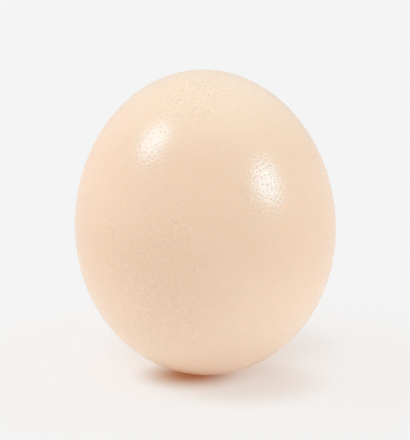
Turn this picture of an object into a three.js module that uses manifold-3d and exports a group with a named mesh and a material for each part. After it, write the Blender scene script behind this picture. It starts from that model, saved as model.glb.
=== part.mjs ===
// An ostrich egg, standing on the small flat spot at its blunt end.
//
// The egg is one solid: an ovoid that is a little slimmer towards its top, pitted by the larger
// pores of its shell. Units are millimetres and +Z is up. The front of the egg faces -Y, and the
// origin is the centre of the flat spot.

import * as THREE from "three";
import { mergeVertices } from "three/addons/utils/BufferGeometryUtils.js";
import Module from "manifold-3d";

// Driving dimensions.
const LENGTH = 150; // from pole to pole, before the flat spot is taken off
const WIDTH = 127.4; // across the middle
const TAPER = 0.027; // share by which the girth shrinks towards the top and grows towards the foot
const LEAN_DEG = 2.4; // how far the top leans towards -X
const SPOT_DEPTH = 0.6; // what the flat spot takes off the foot, which makes it 16 mm across
const SPOT_TOLERANCE = 0.001; // how far above the spot's plane a corner still counts as on it

// The larger pores gather in loose crowds, with strays between them. An azimuth is in degrees
// round the egg from its front towards +X, a height is from the egg's middle, and a spread is the
// usual distance of a crowd's pores from its centre, each way.
const CROWDS = [
  { azimuth: -10, height: 69.5, spread: 11, pores: 90 }, // the crown
  { azimuth: -34, height: -6, spread: 15, pores: 70 }, // the left flank
  { azimuth: -17, height: -37, spread: 10, pores: 36 }, // low on the left
  { azimuth: 155, height: 8, spread: 22, pores: 50 }, // the back
];
// These stand by themselves, and are as wide as the largest.
const LONE_PORES = [
  { azimuth: -7, height: 6 },
  { azimuth: -12, height: 12 },
  { azimuth: -4, height: -8 },
  { azimuth: 75, height: 31 },
];
const STRAYS = 110;
const SMALLEST_PORE = 0.8; // across its rim
const LARGEST_PORE = 1.4;
const PORE_STEEPNESS = 0.32; // a pore's depth as a share of its width
const RIM_SIDES = 6;

const FACETS_PER_EDGE = 15; // along each edge of the icosahedron that the shell grows from
const SEED = 20;

const SHELL_COLOUR = 0xe9cbb0;
const SHELL_ROUGHNESS = 0.32;

// A vector scattered about zero, with a standard deviation of 1 along each axis.
function scatter() {
  const throwDice = () => THREE.MathUtils.seededRandom() - 1 / 2;
  const bellCurve = () => Math.sqrt(3) * (throwDice() + throwDice() + throwDice() + throwDice());
  return new THREE.Vector3(bellCurve(), bellCurve(), bellCurve());
}

// Takes a point of the unit sphere to the egg's surface, with the egg's long axis on Z.
function onEgg(direction) {
  const girth = (WIDTH / 2) * (1 - TAPER * direction.z);
  return new THREE.Vector3(
    girth * direction.x,
    girth * direction.y,
    (LENGTH / 2) * direction.z,
  );
}

// The facets of the unit sphere, each as three corners in counterclockwise order from outside.
function sphereFacets() {
  const corners = new THREE.IcosahedronGeometry(1, FACETS_PER_EDGE - 1).getAttribute("position");
  const facets = [];
  for (let i = 0; i < corners.count; i += 3) {
    facets.push([0, 1, 2].map((k) => new THREE.Vector3().fromBufferAttribute(corners, i + k)));
  }
  return facets;
}

// The direction of a place on the egg, from its azimuth in degrees and its height.
function towards(azimuthDeg, height) {
  const azimuth = THREE.MathUtils.degToRad(azimuthDeg);
  const rise = height / (LENGTH / 2);
  const reach = Math.sqrt(1 - rise * rise);
  return new THREE.Vector3(reach * Math.sin(azimuth), -reach * Math.cos(azimuth), rise);
}

// Where the pores in crowds and the strays sit, as directions from the egg's middle.
function scatteredPores() {
  const crowded = CROWDS.flatMap(({ azimuth, height, spread, pores }) => {
    const centre = towards(azimuth, height);
    const share = spread / onEgg(centre).length();
    return Array.from({ length: pores }, () => scatter().multiplyScalar(share).add(centre));
  });
  const strays = Array.from({ length: STRAYS }, scatter);
  return [...crowded, ...strays].map((direction) => direction.normalize());
}

// Picks the facet under each pore. Pores that land on one facet share it as a single pore.
function pickFacets(facets, directions) {
  const centres = facets.map(([a, b, c]) => a.clone().add(b).add(c).normalize());
  return new Set(
    directions.map((direction) => {
      const nearness = centres.map((centre) => centre.dot(direction));
      return nearness.indexOf(Math.max(...nearness));
    }),
  );
}

// Cuts a pore into one facet: a ring of RIM_SIDES points round its middle, falling to one deep
// point. The facet's own three edges stay whole, so its neighbours still meet it.
function poreFacets([a, b, c], width) {
  const middle = a.clone().add(b).add(c).divideScalar(3);
  const normal = b.clone().sub(a).cross(c.clone().sub(a)).normalize();
  const deepest = middle.clone().addScaledVector(normal, -PORE_STEEPNESS * width);
  const toRim = a.clone().sub(middle).setLength(width / 2);
  const rim = [];
  for (let i = 0; i < RIM_SIDES; i++) {
    const turned = toRim.clone().applyAxisAngle(normal, (2 * Math.PI * i) / RIM_SIDES);
    rim.push(middle.clone().add(turned));
  }
  const corners = [a, b, c];
  const step = RIM_SIDES / 3; // rim points from one corner's to the next corner's
  const pieces = [];
  corners.forEach((corner, k) => {
    const next = corners[(k + 1) % 3];
    const [near, between, far] = [0, 1, 2].map((i) => rim[(k * step + i) % RIM_SIDES]);
    pieces.push([corner, next, between], [corner, between, near], [next, far, between]);
  });
  rim.forEach((point, i) => {
    pieces.push([point, rim[(i + 1) % RIM_SIDES], deepest]);
  });
  return pieces;
}

// The whole pitted shell round the egg's middle, leaning as it stands.
function shellGeometry() {
  const facets = sphereFacets();
  const lone = pickFacets(facets, LONE_PORES.map(({ azimuth, height }) => towards(azimuth, height)));
  const scattered = pickFacets(facets, scatteredPores());
  const points = facets.flatMap((facet, i) => {
    const onShell = facet.map(onEgg);
    if (!lone.has(i) && !scattered.has(i)) {
      return onShell;
    }
    const size = lone.has(i) ? 1 : THREE.MathUtils.seededRandom();
    return poreFacets(onShell, THREE.MathUtils.lerp(SMALLEST_PORE, LARGEST_PORE, size)).flat();
  });
  return new THREE.BufferGeometry()
    .setFromPoints(points)
    .rotateY(-THREE.MathUtils.degToRad(LEAN_DEG));
}

// A closed three.js geometry as a manifold-3d solid.
function toSolid(wasm, geometry) {
  const bare = geometry.clone().deleteAttribute("normal").deleteAttribute("uv");
  const merged = mergeVertices(bare.index ? bare.toNonIndexed() : bare);
  const mesh = new wasm.Mesh({
    numProp: 3,
    vertProperties: merged.getAttribute("position").array,
    triVerts: new Uint32Array(merged.index.array),
  });
  return new wasm.Manifold(mesh);
}

// A manifold-3d solid as a three.js geometry.
function toGeometry(solid) {
  const { vertProperties, triVerts } = solid.getMesh();
  return new THREE.BufferGeometry()
    .setAttribute("position", new THREE.BufferAttribute(vertProperties, 3))
    .setIndex(new THREE.BufferAttribute(triVerts, 1));
}

// Takes the flat spot off the egg's foot, and sets the spot's centre on the origin.
function standOnSpot(wasm, shell) {
  shell.computeBoundingBox();
  const floorHeight = shell.boundingBox.min.z + SPOT_DEPTH;
  const below = new THREE.BoxGeometry(WIDTH, WIDTH, WIDTH);
  below.translate(0, 0, floorHeight - WIDTH / 2);
  const standing = toGeometry(toSolid(wasm, shell).subtract(toSolid(wasm, below)));

  const corners = standing.getAttribute("position");
  const spot = new THREE.Box3();
  for (let i = 0; i < corners.count; i++) {
    const corner = new THREE.Vector3().fromBufferAttribute(corners, i);
    if (corner.z < floorHeight + SPOT_TOLERANCE) {
      spot.expandByPoint(corner);
    }
  }
  const centre = spot.getCenter(new THREE.Vector3());
  standing.translate(-centre.x, -centre.y, -floorHeight);
  standing.computeVertexNormals();
  return standing;
}

THREE.MathUtils.seededRandom(SEED);
const wasm = await Module();
wasm.setup();

const egg = new THREE.Mesh(
  standOnSpot(wasm, shellGeometry()),
  new THREE.MeshStandardMaterial({
    color: SHELL_COLOUR,
    roughness: SHELL_ROUGHNESS,
    metalness: 0,
  }),
);
egg.name = "egg";

const ostrichEgg = new THREE.Group();
ostrichEgg.add(egg);

export default ostrichEgg;
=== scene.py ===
"""Dresses an ostrich egg: a hard, glossy cream shell pitted all over by its pores.

The egg stands on the flat spot at its blunt end, in a plain pale studio with two soft lights.
"""

import math
import random

import bmesh
import bpy
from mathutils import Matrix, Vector
from mathutils.kdtree import KDTree


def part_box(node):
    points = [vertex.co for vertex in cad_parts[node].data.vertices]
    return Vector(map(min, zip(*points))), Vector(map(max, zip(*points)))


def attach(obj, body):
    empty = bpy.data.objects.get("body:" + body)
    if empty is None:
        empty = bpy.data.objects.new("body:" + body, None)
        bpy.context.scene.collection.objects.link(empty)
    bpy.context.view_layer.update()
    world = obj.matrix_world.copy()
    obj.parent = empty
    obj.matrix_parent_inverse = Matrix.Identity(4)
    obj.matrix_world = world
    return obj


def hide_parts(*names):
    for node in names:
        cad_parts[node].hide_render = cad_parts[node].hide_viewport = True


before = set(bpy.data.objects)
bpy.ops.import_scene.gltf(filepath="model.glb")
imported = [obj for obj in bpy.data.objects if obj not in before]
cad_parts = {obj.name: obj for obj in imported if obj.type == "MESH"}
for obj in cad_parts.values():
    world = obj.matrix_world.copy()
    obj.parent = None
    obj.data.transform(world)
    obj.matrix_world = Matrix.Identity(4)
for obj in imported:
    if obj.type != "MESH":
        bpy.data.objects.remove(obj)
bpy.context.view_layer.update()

bl_info = {
    "name": "Ostrich Egg",
    "version": (1, 0, 0),
    "blender": (4, 5, 0),
    "location": "3D View > Sidebar > Egg",
    "description": "Makes an ostrich egg with a pitted glossy shell, and the studio it stands in",
    "category": "Add Mesh",
}

BODY = "root"
SHELL_NAME = "shell"
SOLID_EGG = "egg"

# The solid egg, which says how large the shell is and where it stands. All lengths are in metres.
EGG_LOW, EGG_HIGH = (Vector(corner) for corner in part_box(SOLID_EGG))
EGG_SIZE = EGG_HIGH - EGG_LOW
EGG_MIDDLE = (EGG_LOW + EGG_HIGH) / 2

# The pores of the solid egg are the shell's large ones. These tell them from its other corners.
SAME_CORNER = 1e-6  # corners of the solid egg that are nearer than this are one
LARGE_PORE_WIDTH = 0.002  # no pore of the solid egg is as wide as this
LARGE_PORE_DEPTH = 0.0001  # and each is deeper than this

# How the shell's mesh is laid out.
SPHERE_LEVELS = 7
SPHERE_SIZE = 2  # across the sphere that the shell starts as
JITTER = 0.006  # the farthest that a corner of that sphere is moved
JITTER_EVENNESS = 0.5  # 0 moves the corners by any distance up to that, 1 all by the same
CUT_TOLERANCE = 1e-7  # how near the flat spot's plane a corner counts as on it
SHORTEST_SPOT_EDGE = 0.0003  # corners round the flat spot that are nearer than this are merged
SPOT_RIM = 0.0006  # width of the ring of faces inside the flat spot's edge
CLEAR_OF_SPOT = 0.002  # no pore is lower than this
ROOM_FOR_RIM = 0.8  # share of the shortest edge at a corner that a pore's rim may take
PORE_SIZES = 4  # each pore is made in the nearest of this many sizes that is no wider than it
NO_PORE = -1
CUT_FACE_SIDES = 4  # a triangle has this many once one of its corners is opened
MOST_RIM_SIDES = 8

# How dark the pores are, from 0 for a clean one to 1. Where the large pores crowd, all pores are
# darker, most of all at the crown, and the widest pores are dark wherever they are.
CROWD_REACH = 0.012  # how far from a place a large pore still counts as near it
CLOSEST_CROWD = 10.0  # about how much the nearby pores count for in the closest crowd
PALE_STAIN = 0.05  # away from the crowds
CROWD_STAIN = 0.064  # what each nearby large pore adds
CROWN_STAIN = 0.032  # what each nearby large pore adds to that at the top of the crown
CROWN_POWER = 4  # the higher, the nearer to its top the crown's stains stay
WIDEST_STAIN = 0.5
WIDEST_POWER = 40  # the higher, the fewer pores are wide enough for that
LARGE_POWER = 0.5  # a large pore is mostly nearly as dark as its place lets it be
FINE_POWER = 1.5  # and a fine one mostly paler

# What each corner of the shell tells its material. The pore attribute is 0 between the pores and
# BARE_PORE at the bottom of a clean one, and is higher, up to 1, the darker a pore is. The crowd
# attribute is how closely the large pores crowd there, and is about 1 in the closest crowd.
PORE_ATTRIBUTE = "pore"
BARE_PORE = 0.25
CROWD_ATTRIBUTE = "crowd"
SIZE_LAYER = "size"  # which of the sizes a corner's pore has, while the pores are being opened

# The shell's colours blend into each other between these heights.
CROWN_BEGINS = EGG_MIDDLE.z + 0.035
CROWN_WHOLE = EGG_HIGH.z
# Painted light: from here down the shell turns to a brighter peach, which stands in for the light that
# the floor throws up on the foot.
FOOT_LIGHT_BEGINS = EGG_MIDDLE.z + 0.005
FOOT_LIGHT_WHOLE = EGG_LOW.z + 0.015

# Clouds of two of its colours. Each has the scale and the detail of its noise, the levels of noise
# where it begins and is whole, and its strength.
CLOUDS = {
    "ivory": (22, 2, 0.4, 0.75, 0.15),
    "blush": (31, 3, 0.45, 0.75, 0.2),
}

# Fine spots of light and dark, where the large pores crowd, and of gloss everywhere.
NOISE_MIDDLE = 0.5
SPOT_DETAIL = 2
MOTTLE_SCALE = 650
MOTTLE_SPREAD = 0.2
MOTTLE_BEGINS = 0.08  # in terms of the crowd attribute, as is the next
MOTTLE_WHOLE = 0.4
GLOSS_SCALE = 900
GLOSS_SPREAD = 0.08

# The orange peel between the pores is round dimples under two grains of noise. Each grain has its
# scale, its detail and its share of the relief.
PEEL_DEPTH = 0.00007
GRAINS = ((700, 3, 0.24), (2200, 2, 0.16))
DIMPLE_SCALE = 450
DIMPLE_REACH = 0.4  # a dimple's radius, as a share of their usual spacing
DIMPLE_SHARE = 0.6

# How the pore attribute shows. A pit is whole, and a stain begins and is whole, at these values.
PIT_WHOLE = BARE_PORE * 0.6
STAIN_BEGINS = BARE_PORE * 0.8
STAIN_WHOLE = 0.6
# Painted shade in the recesses: every pit, clean ones too, is darkened this far towards the stain's
# colour.
PIT_SHADE = 0.12  # how far a clean pit takes the stain's colour
STAIN_COLOUR = 0.76  # and how much further a dark one does
PIT_MATTNESS = 0.85
MATT = {"Roughness": 0.9, "Specular IOR Level": 0.1}  # the bottoms of the pores, and the floor

# Where things stand in the studio. Directions are seen from the middle of the egg.
SENSOR_MM = 36.0
AIM = EGG_MIDDLE + Vector((-0.0002, 0, 0.0011))  # what the camera looks at
FLOOR_SIZE = 12.0
# The warm shade of the egg on the floor is painted shadow, put into the floor's white and its glow:
# a deep patch under its foot, a faint one to the right and another behind. Each has its middle,
# the radius out to which it is whole, the radius where it ends, and its depth from 0 to 1.
PAINTED_SHADES = (
    ((-0.0095, -0.0095, 0), 0.003, 0.031, 1.0),
    ((0.018, -0.022, 0), 0.016, 0.050, 0.28),
    ((0.009, 0.047, 0), 0.025, 0.072, 0.26),
)
WHITE = (1, 1, 1)
# Painted shadow: where the painted shade is deepest, the floor's white is tinted by this.
PAINTED_SHADE_WHITE = (1, 0.95, 0.73)  # how much of the floor's white is left in the deepest shade
# Each soft light is two lamps in one place: a wash that lights the shell, and a bluer glint that
# shows only as its highlight, which would look yellow on the warm shell without it.
LIGHT_DISTANCE = 1.6
LEFT_LIGHT = Vector((-0.645, -0.161, 0.747))
LEFT_LIGHT_SIZE = (0.58, 0.71)
RIGHT_LIGHT = Vector((0.804, -0.405, 0.435))
RIGHT_LIGHT_SIZE = (0.68, 0.64)
WASH_COLOUR = (0.7, 0.91, 1.0)
GLINT_COLOUR = (0.3, 0.76, 1.0)
GLINT_POWER = 1.22  # as a share of the wash's


# Values that a user would change.


class EggShape(bpy.types.PropertyGroup):
    """The form of the shell, and the pores in it."""

    taper: bpy.props.FloatProperty(
        name="Taper",
        description="Share by which the girth shrinks at the top and grows at the foot",
        default=0.027,
        min=0.0,
        max=0.3,
        subtype="FACTOR",
    )
    lean: bpy.props.FloatProperty(
        name="Lean",
        description="How far the top leans towards -X",
        default=math.radians(2.4),
        subtype="ANGLE",
    )
    spot_depth: bpy.props.FloatProperty(
        name="Flat spot depth",
        description="What the flat spot takes off the foot of the egg",
        default=0.0006,
        min=0.0,
        unit="LENGTH",
    )
    pore_count: bpy.props.IntProperty(
        name="Fine pores",
        description="How many fine pores the shell has, besides its large ones",
        default=7600,
        min=0,
        max=9000,
    )
    smallest_pore: bpy.props.FloatProperty(
        name="Smallest pore",
        description="Width of the smallest pores",
        default=0.0007,
        min=0.0,
        unit="LENGTH",
    )
    largest_pore: bpy.props.FloatProperty(
        name="Largest fine pore",
        description="Width of the largest of the fine pores",
        default=0.0015,
        min=0.0,
        unit="LENGTH",
    )
    pore_steepness: bpy.props.FloatProperty(
        name="Pore steepness",
        description="Depth of a pore as a share of its width",
        default=0.14,
        min=0.0,
        max=1.0,
        subtype="FACTOR",
    )
    seed: bpy.props.IntProperty(
        name="Seed",
        description="Another number gives another scatter of pores",
        default=7,
    )


class ShellFinish(bpy.types.PropertyGroup):
    """The colours and the gloss of the shell."""

    cream: bpy.props.FloatVectorProperty(
        name="Cream",
        description="Colour of the shell round its waist",
        default=(0.84, 0.589, 0.42),
        size=3,
        min=0.0,
        max=1.0,
        subtype="COLOR",
    )
    ivory: bpy.props.FloatVectorProperty(
        name="Ivory",
        description="Colour of the paler shell at the crown, and of the paler clouds",
        default=(0.91, 0.685, 0.515),
        size=3,
        min=0.0,
        max=1.0,
        subtype="COLOR",
    )
    blush: bpy.props.FloatVectorProperty(
        name="Blush",
        description="Colour of the pinker clouds in the shell",
        default=(0.86, 0.60, 0.45),
        size=3,
        min=0.0,
        max=1.0,
        subtype="COLOR",
    )
    # Partly painted light: a peach tone, but brighter than the cream to stand in for light from the floor
    # below the foot.
    peach_and_floor_light: bpy.props.FloatVectorProperty(
        name="Peach",
        description="Colour of the brighter shell towards the foot",
        default=(0.98, 0.735, 0.555),
        size=3,
        min=0.0,
        max=1.0,
        subtype="COLOR",
    )
    # Also the colour of the painted shade at the bottom of every pit, besides the real stain of the dark
    # ones.
    pore_stain_and_shade: bpy.props.FloatVectorProperty(
        name="Pore stain",
        description="Colour at the bottom of the darkest pores",
        default=(0.42, 0.25, 0.14),
        size=3,
        min=0.0,
        max=1.0,
        subtype="COLOR",
    )
    roughness: bpy.props.FloatProperty(
        name="Roughness",
        description="Roughness of the shell between its pores",
        default=0.24,
        min=0.0,
        max=1.0,
        subtype="FACTOR",
    )


class Studio(bpy.types.PropertyGroup):
    """The camera, the floor and the lights."""

    elevation: bpy.props.FloatProperty(
        name="Camera elevation",
        description="Angle of the camera above level",
        default=math.radians(12),
        subtype="ANGLE",
    )
    distance: bpy.props.FloatProperty(
        name="Camera distance",
        description="From the middle of the egg to the camera",
        default=1.1,
        min=0.1,
        unit="LENGTH",
    )
    view_height: bpy.props.FloatProperty(
        name="Height in view",
        description="What the picture's height spans at the egg",
        default=0.2148,
        min=0.01,
        unit="LENGTH",
    )
    left_power: bpy.props.FloatProperty(
        name="Left light",
        description="Power of the soft light at the upper left",
        default=7.5,
        min=0.0,
        unit="POWER",
    )
    right_power: bpy.props.FloatProperty(
        name="Right light",
        description="Power of the soft light at the right",
        default=8.8,
        min=0.0,
        unit="POWER",
    )
    room_left: bpy.props.FloatProperty(
        name="Room, left side",
        description="Brightness of the white room on the side of -X",
        default=1.36,
        min=0.0,
    )
    room_right: bpy.props.FloatProperty(
        name="Room, right side",
        description="Brightness of the white room on the side of +X",
        default=0.92,
        min=0.0,
    )
    room_front: bpy.props.FloatProperty(
        name="Room, camera's side",
        description="Brightness of the white room on the side of -Y",
        default=0.6,
        min=0.0,
    )
    room_back: bpy.props.FloatProperty(
        name="Room, far side",
        description="Brightness of the white room on the side of +Y",
        default=0.73,
        min=0.0,
    )
    room_top: bpy.props.FloatProperty(
        name="Room, ceiling",
        description="Brightness of the white room overhead",
        default=0.72,
        min=0.0,
    )
    floor_white: bpy.props.FloatProperty(
        name="Floor",
        description="How white the floor is",
        default=0.485,
        min=0.0,
        max=1.0,
        subtype="FACTOR",
    )
    floor_glow: bpy.props.FloatProperty(
        name="Floor glow",
        description="Light that comes up through the floor",
        default=0.50,
        min=0.0,
    )
    # Painted shadow: in the painted shade patches round the foot, the floor's glow turns to this warm
    # colour.
    shade: bpy.props.FloatVectorProperty(
        name="Shade",
        description="Colour of that light under the foot, where it comes through the egg's shade",
        default=(0.385, 0.1, 0.03),
        size=3,
        min=0.0,
        max=1.0,
        subtype="COLOR",
    )


# Node trees.


class Wire:
    """An output of a node. Arithmetic on it adds the Math nodes that work it out."""

    def __init__(self, nodes, socket):
        self.nodes = nodes
        self.socket = socket

    def _math(self, operation, *values):
        return self.nodes.add("ShaderNodeMath", {"operation": operation}, dict(enumerate(values)))

    def __add__(self, other):
        return self._math("ADD", self, other)

    __radd__ = __add__

    def __sub__(self, other):
        return self._math("SUBTRACT", self, other)

    def __rsub__(self, other):
        return self._math("SUBTRACT", other, self)

    def __mul__(self, other):
        return self._math("MULTIPLY", self, other)

    __rmul__ = __mul__

    def __gt__(self, other):
        return self._math("GREATER_THAN", self, other)


class Nodes:
    """The node tree of one material or world."""

    def __init__(self, owner):
        owner.use_nodes = True
        self.tree = owner.node_tree
        self.tree.nodes.clear()

    def add(self, kind, settings=None, sockets=None, output=0):
        """Adds a node with its settings and the values or wires of its sockets, and gives an output."""
        node = self.tree.nodes.new(kind)
        for name, value in (settings or {}).items():
            setattr(node, name, value)
        for name, value in (sockets or {}).items():
            if isinstance(value, Wire):
                self.tree.links.new(value.socket, node.inputs[name])
            else:
                node.inputs[name].default_value = value
        return Wire(self, node.outputs[output]) if node.outputs else None

    def mix(self, factor, first, second):
        """Mixes two colours, each a wire or three numbers."""
        node = self.tree.nodes.new("ShaderNodeMix")
        node.data_type = "RGBA"
        shown = {socket.name: socket for socket in node.inputs if socket.enabled}
        for name, value in {"Factor": factor, "A": first, "B": second}.items():
            if isinstance(value, Wire):
                self.tree.links.new(value.socket, shown[name])
            else:
                shown[name].default_value = value if name == "Factor" else (*value, 1)
        return Wire(self, next(socket for socket in node.outputs if socket.enabled))


# The shell's form.


def deselect_everything():
    """Leaves nothing selected, in object mode."""
    if bpy.context.object and bpy.context.object.mode != "OBJECT":
        bpy.ops.object.mode_set(mode="OBJECT")
    bpy.ops.object.select_all(action="DESELECT")


def find_large_pores(node):
    """The middle of the rim and the width of each pore that the solid egg has."""
    solid = bmesh.new()
    solid.from_mesh(node.data)
    bmesh.ops.remove_doubles(solid, verts=solid.verts, dist=SAME_CORNER)
    pores = []
    for vert in solid.verts:
        rim = [edge.other_vert(vert).co for edge in vert.link_edges]
        middle = sum(rim, Vector()) / len(rim)
        width = 2 * max((point - middle).length for point in rim)
        if width < LARGE_PORE_WIDTH and (middle - vert.co).length > LARGE_PORE_DEPTH:
            pores.append((middle, width))
    solid.free()
    return pores


def fit_along(axis, shell):
    """Scales and moves the selected mesh until it fills the solid egg's box along one axis."""
    places = [vert.co[axis] for vert in bmesh.from_edit_mesh(shell.data).verts]
    size = [1.0, 1.0, 1.0]
    size[axis] = EGG_SIZE[axis] / (max(places) - min(places))
    bpy.ops.transform.resize(value=size, center_override=(0, 0, 0))
    move = [0.0, 0.0, 0.0]
    move[axis] = EGG_MIDDLE[axis] - size[axis] * (max(places) + min(places)) / 2
    bpy.ops.transform.translate(value=move)


def add_smooth_shell(shape):
    """Models the egg without pores: an ovoid that fills the solid egg's box and stands on its spot."""
    deselect_everything()
    bpy.ops.mesh.primitive_ico_sphere_add(subdivisions=SPHERE_LEVELS, radius=SPHERE_SIZE / 2)
    shell = bpy.context.object
    shell.name = shell.data.name = SHELL_NAME
    bpy.ops.object.mode_set(mode="EDIT")
    bpy.ops.mesh.select_all(action="SELECT")
    bpy.ops.transform.vertex_random(
        offset=JITTER, uniform=JITTER_EVENNESS, normal=0, seed=shape.seed
    )
    bpy.ops.transform.tosphere(value=1)
    bpy.ops.object.mode_set(mode="OBJECT")

    taper = shell.modifiers.new("taper", "SIMPLE_DEFORM")
    taper.deform_method = "TAPER"
    taper.deform_axis = "Z"
    taper.factor = -SPHERE_SIZE * shape.taper  # the modifier divides it by the sphere's height
    bpy.ops.object.modifier_apply(modifier=taper.name)

    bpy.ops.object.mode_set(mode="EDIT")
    bpy.ops.mesh.select_all(action="SELECT")
    girth = EGG_SIZE.y / SPHERE_SIZE
    length = (EGG_SIZE.z + shape.spot_depth) / SPHERE_SIZE
    bpy.ops.transform.resize(value=(girth, girth, length))
    bpy.ops.transform.rotate(value=shape.lean, orient_axis="Y", center_override=(0, 0, 0))
    foot = min(vert.co.z for vert in bmesh.from_edit_mesh(shell.data).verts)
    bpy.ops.transform.translate(value=(0, 0, -foot - shape.spot_depth))
    bpy.ops.mesh.bisect(
        plane_co=(0, 0, 0), plane_no=(0, 0, 1), use_fill=True, clear_inner=True, threshold=CUT_TOLERANCE
    )
    bpy.ops.mesh.remove_doubles(threshold=SHORTEST_SPOT_EDGE)
    bpy.ops.mesh.inset(thickness=SPOT_RIM, depth=0)
    bpy.ops.mesh.select_all(action="SELECT")
    for axis in range(3):
        fit_along(axis, shell)
    return shell


def tree_of(places):
    """A search tree of places."""
    tree = KDTree(len(places))
    for number, place in enumerate(places):
        tree.insert(place, number)
    tree.balance()
    return tree


def widest_rim(vert):
    """The radius of the widest rim that there is room for at a vertex."""
    return ROOM_FOR_RIM * min(edge.calc_length() for edge in vert.link_edges)


def choose_pores(mesh, shape, large):
    """Picks the vertices to open into pores, and gives the radius of each one's rim."""
    dice = random.Random(shape.seed)
    candidates = [vert for vert in mesh.verts if vert.co.z > CLEAR_OF_SPOT]
    places = tree_of([vert.co for vert in candidates])

    radii = {}
    blocked = set()

    def open_pore(vert, radius):
        radii[vert] = min(radius, widest_rim(vert))
        blocked.add(vert)
        blocked.update(edge.other_vert(vert) for edge in vert.link_edges)

    for middle, width in large:
        vert = candidates[places.find(middle)[1]]
        if vert not in blocked:
            open_pore(vert, width / 2)
    most = len(radii) + shape.pore_count
    dice.shuffle(candidates)
    for vert in candidates:
        if vert not in blocked and len(radii) < most:
            open_pore(vert, dice.uniform(shape.smallest_pore, shape.largest_pore) / 2)
    return radii


def crowding(place, crowd):
    """How many large pores are near a place, the nearer ones counting for more."""
    near = crowd.find_range(place, CROWD_REACH)
    return sum(1 - distance / CROWD_REACH for _, _, distance in near)


def stains(radii, large, crowd, seed):
    """How dark each pore is, from 0 to 1. A place sets how dark its pores can be, and a draw the rest."""
    dice = random.Random(seed)
    widest = max(width for _, width in large) / 2
    dark = []
    for vert, radius in radii.items():
        height = max(0, vert.co.z - EGG_MIDDLE.z) / (EGG_HIGH.z - EGG_MIDDLE.z)
        added = CROWD_STAIN + CROWN_STAIN * height**CROWN_POWER
        darkest = min(1, PALE_STAIN + crowding(vert.co, crowd) * added)
        _, _, distance = crowd.find(vert.co)
        if distance < radius:
            own = WIDEST_STAIN * (radius / widest) ** WIDEST_POWER
            dark.append(max(darkest * dice.random() ** LARGE_POWER, own))
        else:
            dark.append(darkest * dice.random() ** FINE_POWER)
    return dark


def open_pores(shell, shape, large):
    """Opens the chosen vertices into pits, one size of rim after another, and marks their bottoms."""
    mesh = bmesh.from_edit_mesh(shell.data)
    mesh.verts.layers.float.new(PORE_ATTRIBUTE)
    mesh.verts.layers.float.new(CROWD_ATTRIBUTE)
    size = mesh.verts.layers.int.new(SIZE_LAYER)
    radii = choose_pores(mesh, shape, large)
    widest = max(radii.values())
    narrowest = min(radii.values())
    step = (widest - narrowest) / PORE_SIZES

    places = tree_of([vert.co for vert in radii])
    crowd = tree_of([middle for middle, _ in large])
    darkness = stains(radii, large, crowd, shape.seed)

    for vert in mesh.verts:
        vert[size] = NO_PORE
    for vert, radius in radii.items():
        vert[size] = min(PORE_SIZES - 1, int((radius - narrowest) / step))

    for number in range(PORE_SIZES):
        radius = narrowest + step * number
        open_one_size(shell, number, radius, 2 * radius * shape.pore_steepness)
        mesh = bmesh.from_edit_mesh(shell.data)
        pore = mesh.verts.layers.float[PORE_ATTRIBUTE]
        for vert in mesh.verts:
            if vert.select and all(face.select for face in vert.link_faces):
                _, nearest, _ = places.find(vert.co)
                vert[pore] = BARE_PORE + (1 - BARE_PORE) * darkness[nearest]

    mesh = bmesh.from_edit_mesh(shell.data)
    mesh.verts.layers.int.remove(mesh.verts.layers.int[SIZE_LAYER])
    closeness = mesh.verts.layers.float[CROWD_ATTRIBUTE]
    for vert in mesh.verts:
        vert[closeness] = crowding(vert.co, crowd) / CLOSEST_CROWD


def open_one_size(shell, number, radius, depth):
    """Bevels each vertex of one size into a rim, and pokes the rim's face down into a pit."""
    bpy.ops.mesh.select_all(action="DESELECT")
    bpy.ops.mesh.select_mode(type="VERT")
    mesh = bmesh.from_edit_mesh(shell.data)
    size = mesh.verts.layers.int[SIZE_LAYER]
    for vert in mesh.verts:
        vert.select = vert[size] == number
        if vert.select:
            vert[size] = NO_PORE  # the rim's corners take it over
    bmesh.update_edit_mesh(shell.data)
    bpy.ops.mesh.bevel(affect="VERTICES", offset=radius)
    bpy.ops.mesh.select_mode(type="FACE")
    mesh = bmesh.from_edit_mesh(shell.data)
    for face in mesh.faces:
        rimmed = CUT_FACE_SIDES < len(face.verts) <= MOST_RIM_SIDES
        face.select = rimmed and face.calc_center_median().z > CLEAR_OF_SPOT / 2
    bmesh.update_edit_mesh(shell.data)
    bpy.ops.mesh.poke(offset=-depth, center_mode="MEDIAN")


# The shell's finish.


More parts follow.
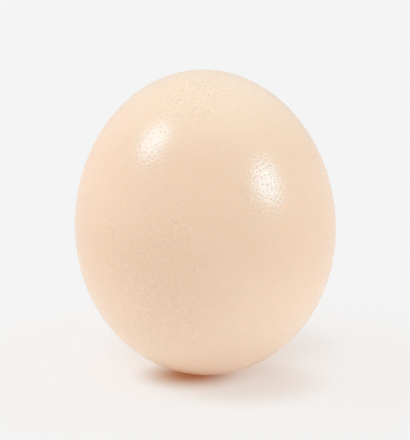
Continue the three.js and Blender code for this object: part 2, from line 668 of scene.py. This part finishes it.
def shell_material(finish):
    """Hard glossy cream shell: soft clouds of colour, faint orange peel, and matt pores with painted
    shade, some stained; brighter towards the foot with painted light from the floor.
    """
    material = bpy.data.materials.new("shell")
    nodes = Nodes(material)
    place = nodes.add("ShaderNodeTexCoord", output="Object")
    pore = nodes.add("ShaderNodeAttribute", {"attribute_name": PORE_ATTRIBUTE}, output="Fac")
    crowd = nodes.add("ShaderNodeAttribute", {"attribute_name": CROWD_ATTRIBUTE}, output="Fac")

    def noise(scale, detail):
        sockets = {"Vector": place, "Scale": scale, "Detail": detail}
        return nodes.add("ShaderNodeTexNoise", None, sockets, output="Fac")

    def spots(scale, spread):
        return (noise(scale, SPOT_DETAIL) - NOISE_MIDDLE) * spread

    def blend(wire, begins, whole):
        settings = {"interpolation_type": "SMOOTHSTEP"}
        sockets = {"Value": wire, "From Min": begins, "From Max": whole}
        return nodes.add("ShaderNodeMapRange", settings, sockets)

    height = nodes.add("ShaderNodeSeparateXYZ", None, {"Vector": place}, output="Z")
    crown = blend(height, CROWN_BEGINS, CROWN_WHOLE)
    # Painted light from the floor: the shell is brighter towards the foot.
    foot = blend(height, FOOT_LIGHT_BEGINS, FOOT_LIGHT_WHOLE)
    colour = nodes.mix(crown, tuple(finish.cream), tuple(finish.ivory))
    colour = nodes.mix(foot, colour, tuple(finish.peach_and_floor_light))
    for name, (scale, detail, begins, whole, strength) in CLOUDS.items():
        cloud = blend(noise(scale, detail), begins, whole) * strength
        colour = nodes.mix(cloud, colour, tuple(getattr(finish, name)))
    mottle = 1 + blend(crowd, MOTTLE_BEGINS, MOTTLE_WHOLE) * spots(MOTTLE_SCALE, MOTTLE_SPREAD)
    colour = nodes.add("ShaderNodeVectorMath", {"operation": "SCALE"}, {0: colour, "Scale": mottle})
    pit = blend(pore, 0, PIT_WHOLE)
    stain = blend(pore, STAIN_BEGINS, STAIN_WHOLE)
    # Each pit's bottom takes painted shade, and a stained one its stain on top.
    colour = nodes.mix(pit * PIT_SHADE + stain * STAIN_COLOUR, colour, tuple(finish.pore_stain_and_shade))

    from_dimple = nodes.add(
        "ShaderNodeTexVoronoi", None, {"Vector": place, "Scale": DIMPLE_SCALE}, output="Distance"
    )
    relief = blend(from_dimple, 0, DIMPLE_REACH) * DIMPLE_SHARE
    for scale, detail, share in GRAINS:
        relief += noise(scale, detail) * share
    bump = nodes.add("ShaderNodeBump", None, {"Distance": PEEL_DEPTH, "Height": relief})
    gloss = nodes.add(
        "ShaderNodeBsdfPrincipled",
        {"subsurface_method": "RANDOM_WALK"},
        {
            "Base Color": colour,
            "Roughness": finish.roughness + spots(GLOSS_SCALE, GLOSS_SPREAD),
            "Normal": bump,
            "IOR": 1.58,
            "Subsurface Weight": 0.2,
            "Subsurface Radius": (1.0, 0.5, 0.25),
            "Subsurface Scale": 0.003,
        },
    )
    matt = nodes.add("ShaderNodeBsdfPrincipled", None, {"Base Color": colour, **MATT})
    surface = nodes.add("ShaderNodeMixShader", None, {0: pit * PIT_MATTNESS, 1: gloss, 2: matt})
    nodes.add("ShaderNodeOutputMaterial", None, {"Surface": surface})
    return material


class MESH_OT_egg_shell(bpy.types.Operator):
    """Makes the egg's shell, with all its pores, in place of the solid egg"""

    bl_idname = "mesh.egg_shell"
    bl_label = "Egg Shell"
    bl_options = {"REGISTER", "UNDO"}

    def execute(self, context):
        shape = context.scene.egg_shape
        large = find_large_pores(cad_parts[SOLID_EGG])
        shell = add_smooth_shell(shape)
        open_pores(shell, shape, large)
        bpy.ops.mesh.select_all(action="SELECT")
        bpy.ops.mesh.normals_make_consistent(inside=False)
        bpy.ops.object.mode_set(mode="OBJECT")
        bpy.ops.object.shade_smooth()
        shell.data.materials.append(shell_material(context.scene.egg_finish))
        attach(shell, BODY)
        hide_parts(SOLID_EGG)
        return {"FINISHED"}


# The studio.


def floor_material(studio):
    """Matt white acrylic, lit a little from below, with the egg's warm shade painted on it: dimmer and
    warmer round the foot.
    """
    material = bpy.data.materials.new("floor")
    nodes = Nodes(material)
    place = nodes.add("ShaderNodeTexCoord", output="Object")
    # How far each point lies out of the painted shade patches, from 1 - depth inside to 1 outside.
    lit = 1
    for middle, whole, end, depth in PAINTED_SHADES:
        away = nodes.add(
            "ShaderNodeVectorMath", {"operation": "DISTANCE"}, {0: place, 1: middle}, output="Value"
        )
        lit *= nodes.add(
            "ShaderNodeMapRange",
            {"interpolation_type": "SMOOTHSTEP"},
            {"Value": away, "From Min": whole, "From Max": end, "To Min": 1 - depth, "To Max": 1},
        )
    # The painted shadow darkens and warms both the floor's white and its glow.
    painted_shade_white, lit_white = (
        tuple(studio.floor_white * share for share in colour) for colour in (PAINTED_SHADE_WHITE, WHITE)
    )
    surface = nodes.add(
        "ShaderNodeBsdfPrincipled",
        None,
        {
            **MATT,
            "Base Color": nodes.mix(lit, painted_shade_white, lit_white),
            "Emission Color": nodes.mix(lit, tuple(studio.shade), WHITE),
            "Emission Strength": studio.floor_glow,
        },
    )
    nodes.add("ShaderNodeOutputMaterial", None, {"Surface": surface})
    return material


def point_at(thing, target):
    """Turns a light or a camera, which look along their own -Z, towards a place."""
    thing.rotation_mode = "QUATERNION"
    thing.rotation_quaternion = (thing.location - target).to_track_quat("Z", "Y")


def add_lamp(name, direction, size, power, colour, lit):
    """An oval lamp in a direction from the egg, that shines on the things of one collection."""
    deselect_everything()
    place = EGG_MIDDLE + direction.normalized() * LIGHT_DISTANCE
    bpy.ops.object.light_add(type="AREA", location=place)
    light = bpy.context.object
    light.name = light.data.name = name
    light.data.shape = "ELLIPSE"
    light.data.size, light.data.size_y = size
    light.data.energy = power
    light.data.color = colour
    light.light_linking.receiver_collection = lit
    point_at(light, EGG_MIDDLE)
    return light


def white_room(studio):
    """A white room, brighter on some sides than on others, which blend as the direction turns."""
    room = bpy.data.worlds.new("room")
    nodes = Nodes(room)
    direction = nodes.add("ShaderNodeTexCoord", output="Generated")
    x, y, z = (
        nodes.add("ShaderNodeSeparateXYZ", None, {"Vector": direction}, output=axis) for axis in "XYZ"
    )
    sides = studio.room_left + (x > 0) * (studio.room_right - studio.room_left)
    ends = studio.room_front + (y > 0) * (studio.room_back - studio.room_front)
    strength = x * x * sides + y * y * ends + z * z * studio.room_top
    surface = nodes.add("ShaderNodeBackground", None, {"Color": (*WHITE, 1), "Strength": strength})
    nodes.add("ShaderNodeOutputWorld", None, {"Surface": surface})
    return room


def add_camera(studio):
    """The camera, which looks down a little on the front of the egg."""
    toward = Vector((0, -math.cos(studio.elevation), math.sin(studio.elevation)))
    bpy.ops.object.camera_add(location=AIM + toward * studio.distance)
    camera = bpy.context.object
    camera.name = camera.data.name = "camera"
    camera.data.sensor_width = SENSOR_MM
    camera.data.lens = SENSOR_MM * studio.distance / studio.view_height
    point_at(camera, AIM)
    bpy.context.scene.camera = camera


class SCENE_OT_egg_studio(bpy.types.Operator):
    """Makes the pale floor, the two soft lights, the white room and the camera"""

    bl_idname = "scene.egg_studio"
    bl_label = "Egg Studio"
    bl_options = {"REGISTER", "UNDO"}

    def execute(self, context):
        studio = context.scene.egg_studio
        deselect_everything()
        bpy.ops.mesh.primitive_plane_add(size=FLOOR_SIZE)
        floor = context.object
        floor.name = floor.data.name = "floor"
        floor.data.materials.append(floor_material(studio))

        lit = bpy.data.collections.new("lit_by_soft_lights")
        lit.objects.link(bpy.data.objects[SHELL_NAME])
        for side, direction, size, power in (
            ("left", LEFT_LIGHT, LEFT_LIGHT_SIZE, studio.left_power),
            ("right", RIGHT_LIGHT, RIGHT_LIGHT_SIZE, studio.right_power),
        ):
            wash = add_lamp(side + "_wash", direction, size, power, WASH_COLOUR, lit)
            wash.visible_glossy = False
            glint_power = power * GLINT_POWER
            glint = add_lamp(side + "_glint", direction, size, glint_power, GLINT_COLOUR, lit)
            glint.visible_diffuse = False
        context.scene.world = white_room(studio)
        add_camera(studio)
        context.scene.view_settings.view_transform = "Standard"
        return {"FINISHED"}


class VIEW3D_PT_ostrich_egg(bpy.types.Panel):
    """The egg's values, and the buttons that make it."""

    bl_label = "Ostrich Egg"
    bl_space_type = "VIEW_3D"
    bl_region_type = "UI"
    bl_category = "Egg"

    def draw(self, context):
        scene = context.scene
        for group in (scene.egg_shape, scene.egg_finish, scene.egg_studio):
            box = self.layout.box()
            for name in group.__annotations__:
                box.prop(group, name)
        for operator in (MESH_OT_egg_shell, SCENE_OT_egg_studio):
            self.layout.operator(operator.bl_idname)


CLASSES = (
    EggShape,
    ShellFinish,
    Studio,
    MESH_OT_egg_shell,
    SCENE_OT_egg_studio,
    VIEW3D_PT_ostrich_egg,
)


def register():
    """Adds the egg's values, operators and panel."""
    for cls in CLASSES:
        bpy.utils.register_class(cls)
    bpy.types.Scene.egg_shape = bpy.props.PointerProperty(type=EggShape)
    bpy.types.Scene.egg_finish = bpy.props.PointerProperty(type=ShellFinish)
    bpy.types.Scene.egg_studio = bpy.props.PointerProperty(type=Studio)


def unregister():
    """Takes them away again."""
    del bpy.types.Scene.egg_studio
    del bpy.types.Scene.egg_finish
    del bpy.types.Scene.egg_shape
    for cls in reversed(CLASSES):
        bpy.utils.unregister_class(cls)


def main():
    """Makes the egg and its studio."""
    register()
    bpy.ops.mesh.egg_shell()
    bpy.ops.scene.egg_studio()


if __name__ == "__main__":
    main()
